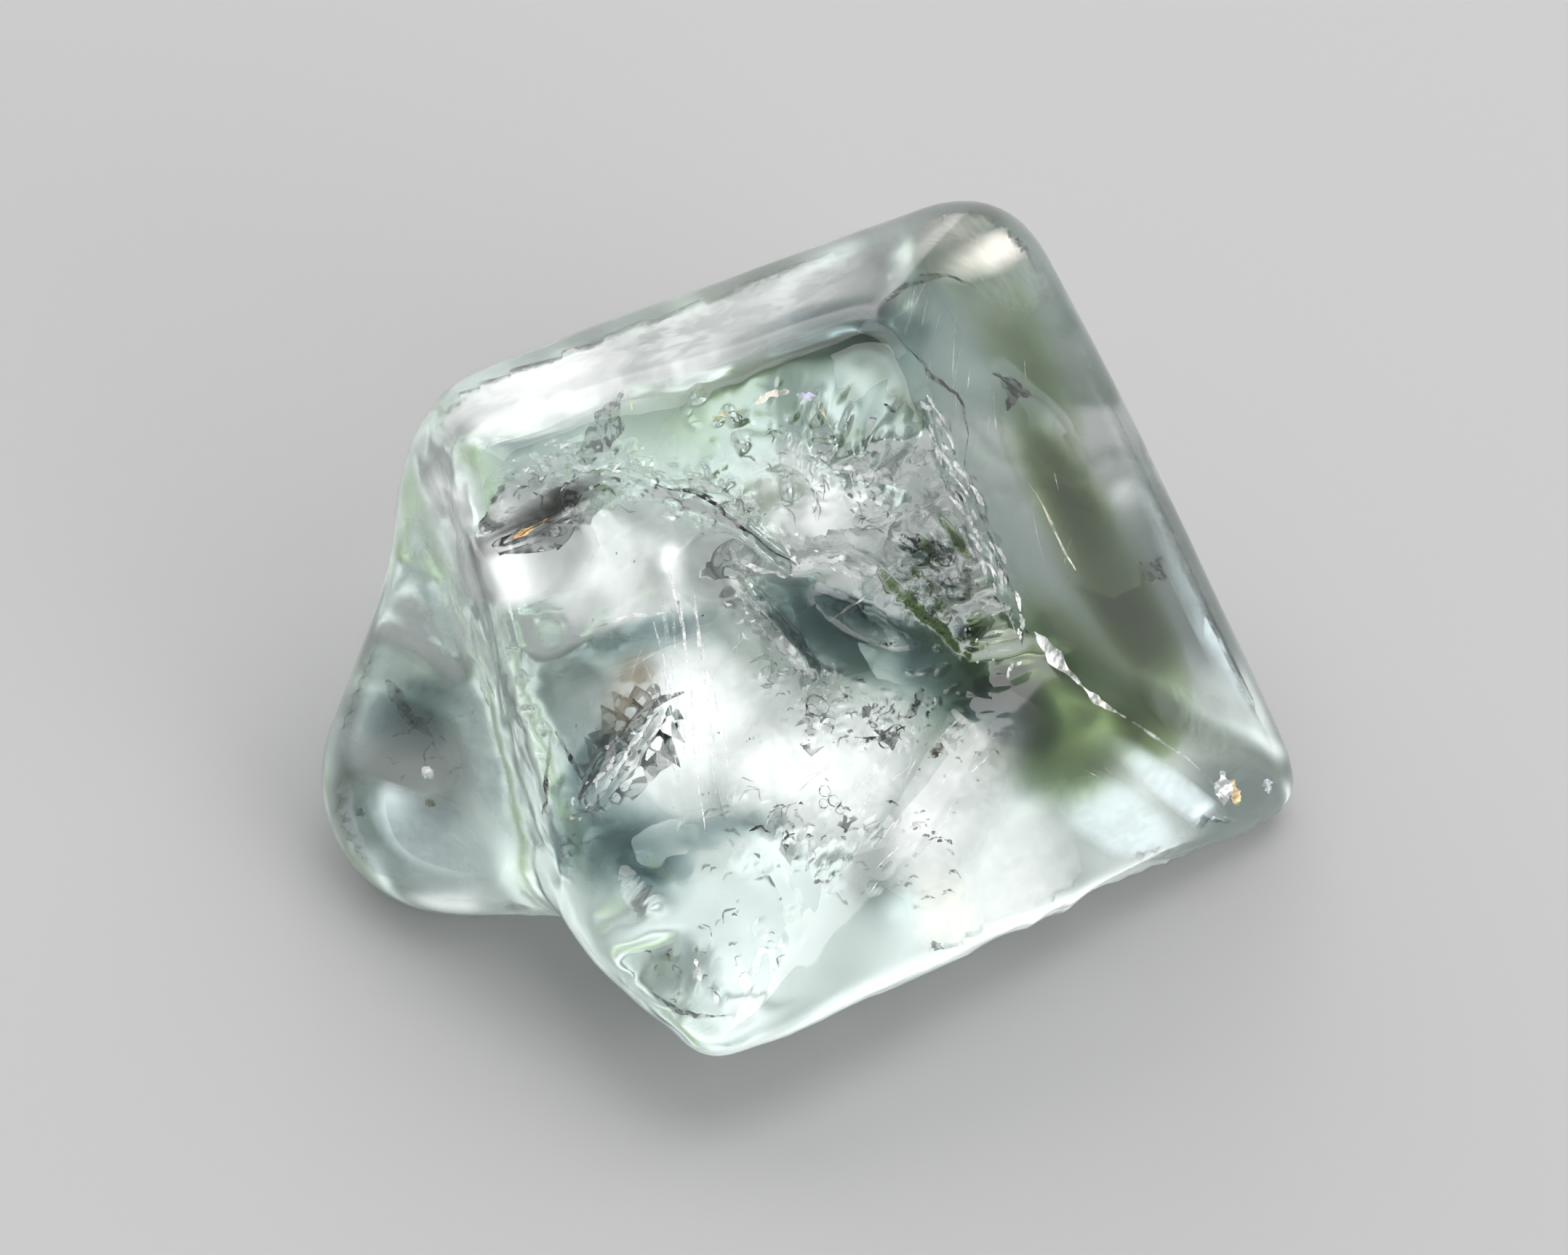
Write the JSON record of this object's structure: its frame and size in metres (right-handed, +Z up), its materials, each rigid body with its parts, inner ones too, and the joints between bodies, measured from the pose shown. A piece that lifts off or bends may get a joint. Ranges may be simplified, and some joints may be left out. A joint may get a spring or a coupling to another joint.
{
  "type": "rough topaz crystal",
  "caption": "Clear rough topaz crystal with flat growth faces, rounded edges, one broken face with ledges and a worn lobe, lying on a flat base.",
  "frame": {"origin": "middle of the stone's footprint, on the flat face that it lies on", "axes": "+Z up; +X towards the sharp right-hand corner, away from the worn lobe; the broken face looks up and towards -Y"},
  "size_m": [0.0168, 0.0152, 0.0104],
  "materials": {
    "topaz": "clear, nearly colourless with a grey-green tint, glossy faces, some internal cracks"
  },
  "bodies": {
    "root": {"topaz_crystal": "topaz"}
  },
  "joints": []
}
